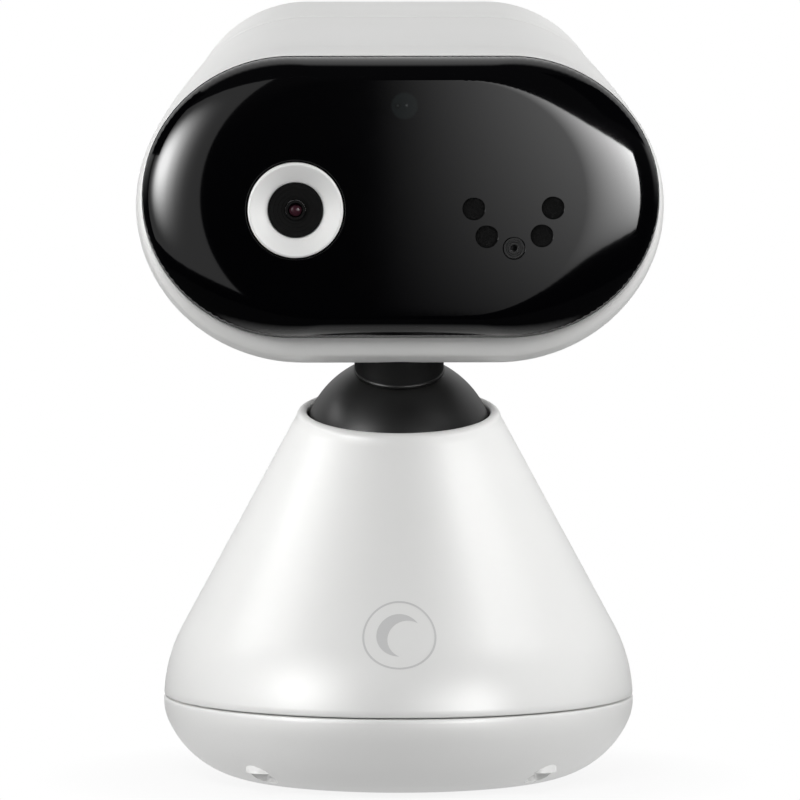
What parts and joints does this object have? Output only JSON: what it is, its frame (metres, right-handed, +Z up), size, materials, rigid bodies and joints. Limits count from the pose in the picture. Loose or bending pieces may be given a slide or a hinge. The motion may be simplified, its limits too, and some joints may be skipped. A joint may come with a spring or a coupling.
{
  "type": "baby monitor camera",
  "caption": "Nursery camera with an oval head behind a black front window, on a black ball joint in a white cone base; the head pans and tilts, with a pairing button and a power slider.",
  "frame": {"origin": "centre of the resting face, on the plane that the foot pads stand on", "axes": "+Z up, front window towards -Y, +X to the right of someone who looks at the front"},
  "size_m": [0.0858, 0.077, 0.1268],
  "materials": {
    "white_shell": "satin moulded white",
    "black_satin": "satin black",
    "black_window": "polished black acrylic",
    "ring_white": "polished white",
    "soft_rubber": "matt rubber",
    "grey_button": "fine texture",
    "cable_jacket": "satin jacket",
    "circuit_board": "solder mask",
    "steel": "plain",
    "brass": "turned",
    "bearing_plastic": "acetal",
    "component_black": "moulded",
    "clear_optic": "polished"
  },
  "bodies": {
    "base": {"base_shell": "white_shell", "base_cover": "white_shell", "foot_pads": "soft_rubber", "base_screws": "steel", "ballast_ring": "steel", "pivot_frame": "black_satin", "pan_bushing": "bearing_plastic", "frame_screws": "steel", "base_board": "circuit_board", "board_screws": "steel", "base_connector": "bearing_plastic", "base_cable": "cable_jacket", "power_socket": "steel", "slide_switch_body": "component_black"},
    "swivel": {"swivel_post": "black_satin", "pan_washer": "bearing_plastic", "pan_retainer": "steel", "tilt_axle": "steel", "tilt_washers": "steel", "axle_clips": "steel", "swivel_cable": "cable_jacket"},
    "head": {"head_shell": "white_shell", "rear_cover": "white_shell", "ball_dome": "black_satin", "neck_sleeve": "black_satin", "front_glass": "black_window", "lens_ring": "ring_white", "lens_shroud": "black_satin", "lens_barrel": "black_satin", "lens_holder": "black_satin", "inner_bracket": "black_satin", "mic_port": "black_satin", "ir_windows": "black_window", "speaker_gasket": "soft_rubber", "mic_boot": "soft_rubber", "glass_seal": "soft_rubber", "head_cable": "cable_jacket", "antenna_cable": "cable_jacket", "sensor_board": "circuit_board", "led_board": "circuit_board", "main_board": "circuit_board", "antenna": "circuit_board", "pair_board": "circuit_board", "head_screws": "steel", "bracket_screws": "steel", "shield_can": "steel", "neck_nut": "steel", "board_spacers": "brass", "axle_bushes": "bearing_plastic", "microphone": "component_black", "image_sensor": "component_black", "light_sensor": "component_black", "pair_switch": "component_black", "speaker_driver": "component_black", "lens_front_element": "clear_optic", "sensor_window": "clear_optic", "ir_emitters": "clear_optic", "status_led": "clear_optic"},
    "pair_button": {"pair_button": "grey_button"},
    "power_slider": {"power_slider": "grey_button"}
  },
  "joints": [
    {"name": "pan", "type": "hinge", "parent": "base", "child": "swivel", "pos_m": [0, 0, 0.0539], "axis": [0, 0, 1], "range_deg": [-160, 160]},
    {"name": "tilt", "type": "hinge", "parent": "swivel", "child": "head", "pos_m": [0, 0, 0.0539], "axis": [1, 0, 0], "range_deg": [-35, 10]},
    {"name": "pair_press", "type": "slide", "parent": "head", "child": "pair_button", "axis": [0, -1, 0], "range_m": [0, 0.0008], "stiffness_N_per_m": 800},
    {"name": "power_slide", "type": "slide", "parent": "base", "child": "power_slider", "axis": [0.8829, 0.4695, 0], "range_m": [-0.0012, 0.0012]}
  ]
}
